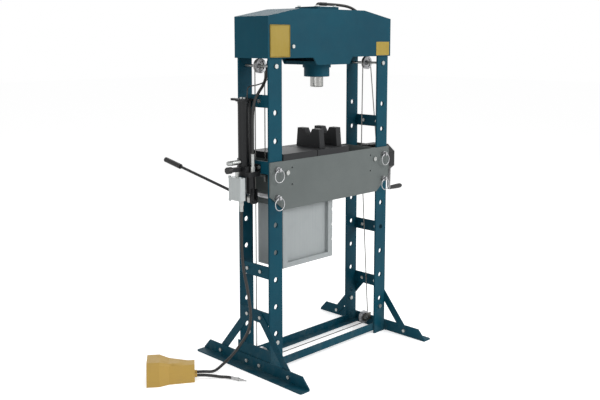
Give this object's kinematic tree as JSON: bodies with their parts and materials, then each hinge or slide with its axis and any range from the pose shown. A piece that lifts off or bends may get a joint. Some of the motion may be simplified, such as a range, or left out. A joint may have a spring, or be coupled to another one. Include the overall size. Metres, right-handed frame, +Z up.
{
  "type": "hydraulic frame press",
  "caption": "Floor-standing workshop press: bolted flat-bar frame, hydraulic ram, winch-raised bed on a wire rope, side hand pump with lever, foot valve, V-blocks.",
  "frame": {"origin": "on the floor, midway between the uprights and midway between the front and rear bars", "axes": "+Z up, the front of the press faces -Y, +X to the right seen from the front, winch on +X, pump on -X"},
  "size_m": [1.8039, 1.1667, 2.004],
  "materials": {
    "teal_paint": "semi-gloss teal machine enamel",
    "black_paint": "satin black enamel",
    "grey_paint": "satin grey enamel",
    "zinc_plate": "dull zinc plating",
    "bright_steel": "turned or plated bright steel",
    "black_plastic": "matt black plastic",
    "hose_rubber": "black rubber hose",
    "grey_metal": "light grey finish",
    "yellow_plastic": "yellow moulded plastic",
    "pedal_metal": "cast grey finish"
  },
  "bodies": {
    "frame": {"air_hose": "hose_rubber", "air_valve_box": "grey_metal", "base_beams": "teal_paint", "bed_cross_plates": "teal_paint", "bed_front_plate": "grey_paint", "bed_rear_plate": "grey_paint", "crown_cap_plate": "teal_paint", "crown_end_plates": "teal_paint", "crown_front_plate": "teal_paint", "crown_rear_plate": "teal_paint", "crown_seat_plate": "teal_paint", "crown_top_plate": "teal_paint", "cylinder_barrel": "teal_paint", "foot_braces": "teal_paint", "foot_end_plates": "teal_paint", "foot_left": "teal_paint", "foot_right": "teal_paint", "frame_bolts": "bright_steel", "hose_coupling": "bright_steel", "hose_elbow": "bright_steel", "pedal_hood": "yellow_plastic", "pedal_hose": "hose_rubber", "press_plate_left": "black_paint", "press_plate_right": "black_paint", "pressure_hose": "hose_rubber", "pulley_hangers": "zinc_plate", "pump_block": "black_paint", "pump_bracket": "black_paint", "pump_fittings": "bright_steel", "reservoir_tube": "black_paint", "return_hose": "hose_rubber", "rope_guide": "black_paint", "sheet_case": "grey_metal", "side_ties": "teal_paint", "upright_front_left": "teal_paint", "upright_front_right": "teal_paint", "upright_rear_left": "teal_paint", "upright_rear_right": "teal_paint", "v_block_left": "black_paint", "v_block_right": "black_paint", "winch_cover": "black_paint", "wire_rope": "bright_steel"},
    "ram": {"piston_rod": "bright_steel"},
    "upper_left_pulley": {"pulley_upper_left": "bright_steel"},
    "upper_right_pulley": {"pulley_upper_right": "bright_steel"},
    "lower_left_pulley": {"pulley_lower_left": "bright_steel"},
    "lower_right_pulley": {"pulley_lower_right": "bright_steel"},
    "drum": {"winch_drum": "bright_steel", "winch_gear": "bright_steel"},
    "crank": {"winch_crank": "bright_steel"},
    "grip": {"crank_grip": "black_plastic"},
    "lever": {"pump_lever": "black_paint", "lever_grip": "black_plastic"},
    "plunger": {"pump_plunger": "bright_steel"},
    "knob": {"release_knob": "black_plastic"},
    "treadle": {"pedal_treadle": "pedal_metal"},
    "upper_left_pin": {"bed_pin_upper_left": "bright_steel"},
    "upper_right_pin": {"bed_pin_upper_right": "bright_steel"},
    "lower_left_pin": {"bed_pin_lower_left": "bright_steel"},
    "lower_right_pin": {"bed_pin_lower_right": "bright_steel"}
  },
  "joints": [
    {"name": "ram_travel", "type": "slide", "parent": "frame", "child": "ram", "axis": [0, 0, -1], "range_m": [0, 0.16]},
    {"name": "drum_spin", "type": "hinge", "parent": "frame", "child": "drum", "pos_m": [0.5, 0.03305, 1.07], "axis": [1, 0, 0], "continuous": true},
    {"name": "crank_spin", "type": "hinge", "parent": "frame", "child": "crank", "pos_m": [0.6, -0.03895, 1.07], "axis": [1, 0, 0], "continuous": true},
    {"name": "grip_spin", "type": "hinge", "parent": "crank", "child": "grip", "pos_m": [0.68, -0.03895, 0.872], "axis": [1, 0, 0], "continuous": true},
    {"name": "upper_right_pulley_spin", "type": "hinge", "parent": "frame", "child": "upper_right_pulley", "pos_m": [0.436, 0, 1.657], "axis": [0, 1, 0], "continuous": true},
    {"name": "upper_left_pulley_spin", "type": "hinge", "parent": "frame", "child": "upper_left_pulley", "pos_m": [-0.436, 0, 1.657], "axis": [0, 1, 0], "continuous": true},
    {"name": "lower_right_pulley_spin", "type": "hinge", "parent": "frame", "child": "lower_right_pulley", "pos_m": [0.436, 0, 0.066], "axis": [0, 1, 0], "continuous": true},
    {"name": "lower_left_pulley_spin", "type": "hinge", "parent": "frame", "child": "lower_left_pulley", "pos_m": [-0.436, 0, 0.066], "axis": [0, 1, 0], "continuous": true},
    {"name": "lever_swing", "type": "hinge", "parent": "frame", "child": "lever", "pos_m": [-0.525, -0.046, 0.944], "axis": [1, 0, 0], "range_deg": [-40, 17]},
    {"name": "plunger_travel", "type": "slide", "parent": "frame", "child": "plunger", "axis": [0, 0, 1], "range_m": [-0.02, 0.009]},
    {"name": "release_turn", "type": "hinge", "parent": "frame", "child": "knob", "pos_m": [-0.65, 0.01, 1.118], "axis": [1, 0, 0], "range_deg": [0, 270]},
    {"name": "treadle_press", "type": "hinge", "parent": "frame", "child": "treadle", "pos_m": [-0.86598, 0.16885, 0.03], "axis": [-0.6074, -0.7944, 0], "range_deg": [0, 12], "stiffness_Nm_per_rad": 2, "springref_deg": -17.19},
    {"name": "upper_left_pin_pull", "type": "slide", "parent": "frame", "child": "upper_left_pin", "axis": [0, -1, 0], "range_m": [0, 0.3]},
    {"name": "upper_right_pin_pull", "type": "slide", "parent": "frame", "child": "upper_right_pin", "axis": [0, -1, 0], "range_m": [0, 0.3]},
    {"name": "lower_left_pin_pull", "type": "slide", "parent": "frame", "child": "lower_left_pin", "axis": [0, -1, 0], "range_m": [0, 0.3]},
    {"name": "lower_right_pin_pull", "type": "slide", "parent": "frame", "child": "lower_right_pin", "axis": [0, -1, 0], "range_m": [0, 0.3]}
  ],
  "couplings": [
    {"joint": "crank_spin", "follows": "drum_spin", "ratio": -5},
    {"joint": "upper_right_pulley_spin", "follows": "drum_spin", "ratio": 0.94429},
    {"joint": "upper_left_pulley_spin", "follows": "drum_spin", "ratio": -0.94429},
    {"joint": "lower_right_pulley_spin", "follows": "drum_spin", "ratio": -0.94429},
    {"joint": "lower_left_pulley_spin", "follows": "drum_spin", "ratio": -0.94429},
    {"joint": "plunger_travel", "follows": "lever_swing", "m_per_rad": 0.02765}
  ]
}
